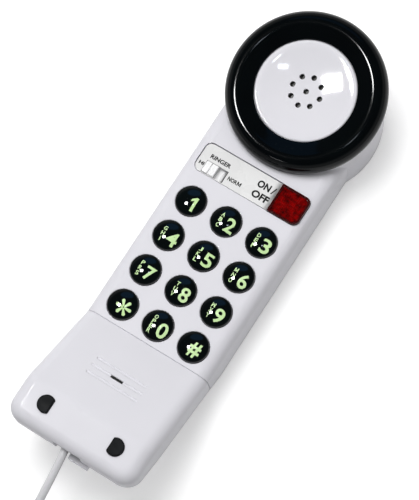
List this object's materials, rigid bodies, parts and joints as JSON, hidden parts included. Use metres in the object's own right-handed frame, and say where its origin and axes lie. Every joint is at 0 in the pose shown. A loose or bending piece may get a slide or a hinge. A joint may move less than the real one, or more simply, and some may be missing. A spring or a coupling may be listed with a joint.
{
  "type": "slimline one-piece telephone",
  "caption": "Slim one-piece corded telephone with round earpiece, keypad, ringer slide, on and off button, angled mouthpiece and a line cord.",
  "frame": {"origin": "middle of the handset's box at the level of its flat back, cord left out", "axes": "+Z out of the keypad face, +Y from the mouthpiece to the earpiece, +X to the keypad's right"},
  "size_m": [0.1046, 0.3509, 0.0463],
  "materials": {
    "shell_plastic": "glossy moulded, faintly lavender white",
    "ring_plastic": "high gloss black",
    "key_plastic": "high gloss black with pale green legends",
    "red_lens": "translucent red lens",
    "panel_plastic": "satin grey plate with black legends",
    "knob_plastic": "white, ribbed",
    "pad_rubber": "soft black",
    "foam_rubber": "soft dark grey",
    "silicone": "satin, translucent",
    "board_laminate": "green solder mask",
    "component_plastic": "moulded black",
    "screw_steel": "zinc plated",
    "magnet_iron": "plain",
    "capsule_aluminium": "satin",
    "film_plastic": "thin film",
    "sounder_brass": "plain",
    "wire_sleeve": "vinyl insulation",
    "jack_plastic": "moulded black",
    "plug_plastic": "clear",
    "cord_vinyl": "light grey vinyl jacket",
    "tie_plastic": "plain"
  },
  "bodies": {
    "handset": {"front_shell": "shell_plastic", "rear_cover": "shell_plastic", "earpiece_ring": "ring_plastic", "ring_screws": "screw_steel", "earpiece_cap": "shell_plastic", "receiver_gasket": "foam_rubber", "receiver_diaphragm": "film_plastic", "receiver_frame": "screw_steel", "receiver_magnet": "magnet_iron", "receiver_wires": "wire_sleeve", "mic_boot": "foam_rubber", "mic_capsule": "capsule_aluminium", "mic_wires": "wire_sleeve", "keypad_mat": "silicone", "keypad_board": "board_laminate", "main_board": "board_laminate", "line_transformer": "component_plastic", "filter_capacitors": "component_plastic", "dialer_chip": "component_plastic", "board_ribbon": "wire_sleeve", "board_screws": "screw_steel", "control_panel": "panel_plastic", "ringer_switch": "component_plastic", "on_off_spring": "screw_steel", "on_off_switch": "component_plastic", "ringer_disc": "sounder_brass", "case_screws": "screw_steel", "rest_pad_left": "pad_rubber", "rest_pad_right": "pad_rubber", "line_jack": "jack_plastic", "jack_wires": "wire_sleeve", "near_plug": "plug_plastic", "plug_contacts": "sounder_brass", "cord_lead": "cord_vinyl", "cord_coil": "cord_vinyl", "cord_tail": "cord_vinyl", "cord_tie": "tie_plastic", "far_plug": "plug_plastic"},
    "key_1_cap": {"key_1": "key_plastic"},
    "key_2_cap": {"key_2": "key_plastic"},
    "key_3_cap": {"key_3": "key_plastic"},
    "key_4_cap": {"key_4": "key_plastic"},
    "key_5_cap": {"key_5": "key_plastic"},
    "key_6_cap": {"key_6": "key_plastic"},
    "key_7_cap": {"key_7": "key_plastic"},
    "key_8_cap": {"key_8": "key_plastic"},
    "key_9_cap": {"key_9": "key_plastic"},
    "key_star_cap": {"key_star": "key_plastic"},
    "key_0_cap": {"key_0": "key_plastic"},
    "key_hash_cap": {"key_hash": "key_plastic"},
    "ringer_slider": {"ringer_knob": "knob_plastic"},
    "on_off_press": {"on_off_button": "red_lens", "on_off_plunger": "knob_plastic"}
  },
  "joints": [
    {"name": "key_1_press", "type": "slide", "parent": "handset", "child": "key_1_cap", "axis": [0, 0, -1], "range_m": [0, 0.0015], "stiffness_N_per_m": 600, "springref_m": -0.001, "deforming": ["keypad_mat"]},
    {"name": "key_2_press", "type": "slide", "parent": "handset", "child": "key_2_cap", "axis": [0, 0, -1], "range_m": [0, 0.0015], "stiffness_N_per_m": 600, "springref_m": -0.001, "deforming": ["keypad_mat"]},
    {"name": "key_3_press", "type": "slide", "parent": "handset", "child": "key_3_cap", "axis": [0, 0, -1], "range_m": [0, 0.0015], "stiffness_N_per_m": 600, "springref_m": -0.001, "deforming": ["keypad_mat"]},
    {"name": "key_4_press", "type": "slide", "parent": "handset", "child": "key_4_cap", "axis": [0, 0, -1], "range_m": [0, 0.0015], "stiffness_N_per_m": 600, "springref_m": -0.001, "deforming": ["keypad_mat"]},
    {"name": "key_5_press", "type": "slide", "parent": "handset", "child": "key_5_cap", "axis": [0, 0, -1], "range_m": [0, 0.0015], "stiffness_N_per_m": 600, "springref_m": -0.001, "deforming": ["keypad_mat"]},
    {"name": "key_6_press", "type": "slide", "parent": "handset", "child": "key_6_cap", "axis": [0, 0, -1], "range_m": [0, 0.0015], "stiffness_N_per_m": 600, "springref_m": -0.001, "deforming": ["keypad_mat"]},
    {"name": "key_7_press", "type": "slide", "parent": "handset", "child": "key_7_cap", "axis": [0, 0, -1], "range_m": [0, 0.0015], "stiffness_N_per_m": 600, "springref_m": -0.001, "deforming": ["keypad_mat"]},
    {"name": "key_8_press", "type": "slide", "parent": "handset", "child": "key_8_cap", "axis": [0, 0, -1], "range_m": [0, 0.0015], "stiffness_N_per_m": 600, "springref_m": -0.001, "deforming": ["keypad_mat"]},
    {"name": "key_9_press", "type": "slide", "parent": "handset", "child": "key_9_cap", "axis": [0, 0, -1], "range_m": [0, 0.0015], "stiffness_N_per_m": 600, "springref_m": -0.001, "deforming": ["keypad_mat"]},
    {"name": "key_star_press", "type": "slide", "parent": "handset", "child": "key_star_cap", "axis": [0, 0, -1], "range_m": [0, 0.0015], "stiffness_N_per_m": 600, "springref_m": -0.001, "deforming": ["keypad_mat"]},
    {"name": "key_0_press", "type": "slide", "parent": "handset", "child": "key_0_cap", "axis": [0, 0, -1], "range_m": [0, 0.0015], "stiffness_N_per_m": 600, "springref_m": -0.001, "deforming": ["keypad_mat"]},
    {"name": "key_hash_press", "type": "slide", "parent": "handset", "child": "key_hash_cap", "axis": [0, 0, -1], "range_m": [0, 0.0015], "stiffness_N_per_m": 600, "springref_m": -0.001, "deforming": ["keypad_mat"]},
    {"name": "on_off_travel", "type": "slide", "parent": "handset", "child": "on_off_press", "axis": [0, 0, -1], "range_m": [0, 0.0015], "stiffness_N_per_m": 900, "springref_m": -0.001, "deforming": ["on_off_spring"]},
    {"name": "ringer_slide", "type": "slide", "parent": "handset", "child": "ringer_slider", "axis": [1, 0, 0], "range_m": [0, 0.0046]}
  ]
}
